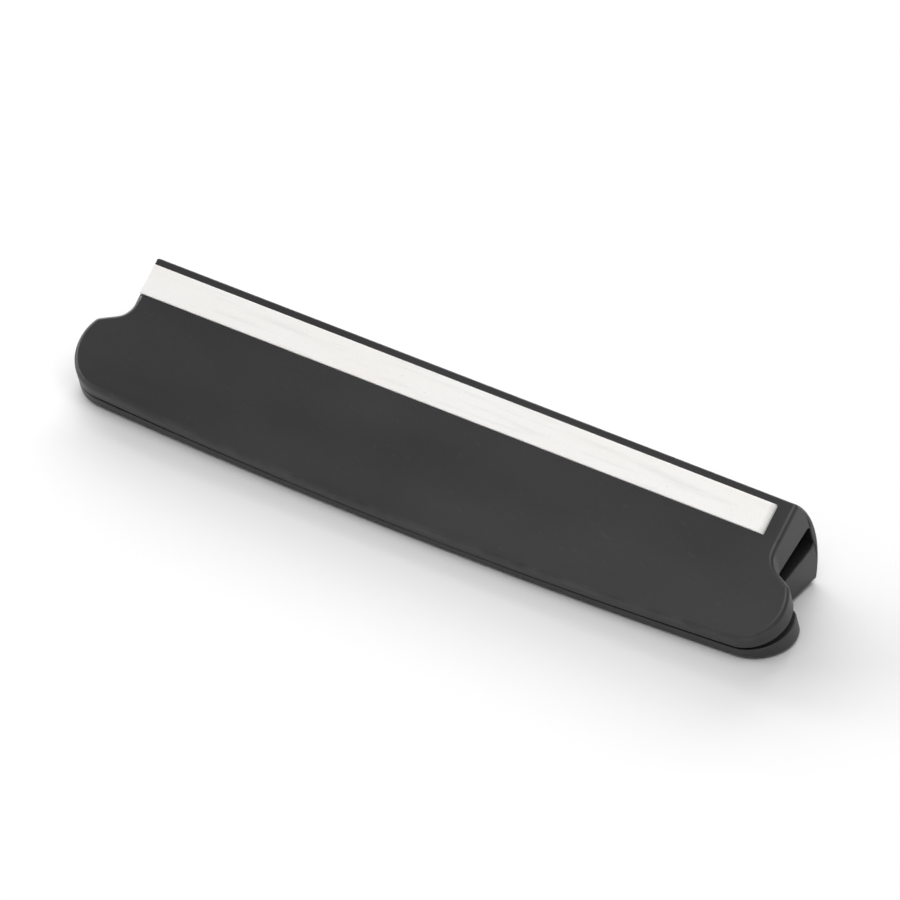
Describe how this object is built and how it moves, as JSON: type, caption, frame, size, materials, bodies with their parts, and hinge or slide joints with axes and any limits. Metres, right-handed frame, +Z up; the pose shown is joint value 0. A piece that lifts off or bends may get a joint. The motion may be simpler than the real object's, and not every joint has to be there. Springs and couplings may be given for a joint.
{
  "type": "slip-on sharpening angle guide",
  "caption": "Long springy plastic clip with a wedge-shaped section, rounded end lobes and a white ceramic wear strip beside the ridge of each jaw; slips over a blade's back.",
  "frame": {"origin": "centre of the bounding box on the surface that the clip lies on", "axes": "+X along the clip, towards the end where plastic closes the strip seats; the mouth of the jaws faces -Y and is tipped down 18.3 degrees; +Z up, with the lower jaw's strip and lip on Z = 0"},
  "size_m": [0.0996, 0.0204, 0.0139],
  "materials": {
    "body_plastic": "black, satin, finely textured moulding",
    "strip_ceramic": "white, fine ground face, unglazed"
  },
  "bodies": {
    "lower_body": {"lower_jaw": "body_plastic", "spring_back": "body_plastic", "lower_ceramic_strip": "strip_ceramic"},
    "upper_body": {"upper_jaw": "body_plastic", "upper_ceramic_strip": "strip_ceramic"}
  },
  "joints": [
    {"name": "jaw_opening", "type": "hinge", "parent": "lower_body", "child": "upper_body", "pos_m": [0, 0.00907, 0.00876], "axis": [-1, 0, 0], "range_deg": [0, 10], "stiffness_Nm_per_rad": 0.8}
  ]
}
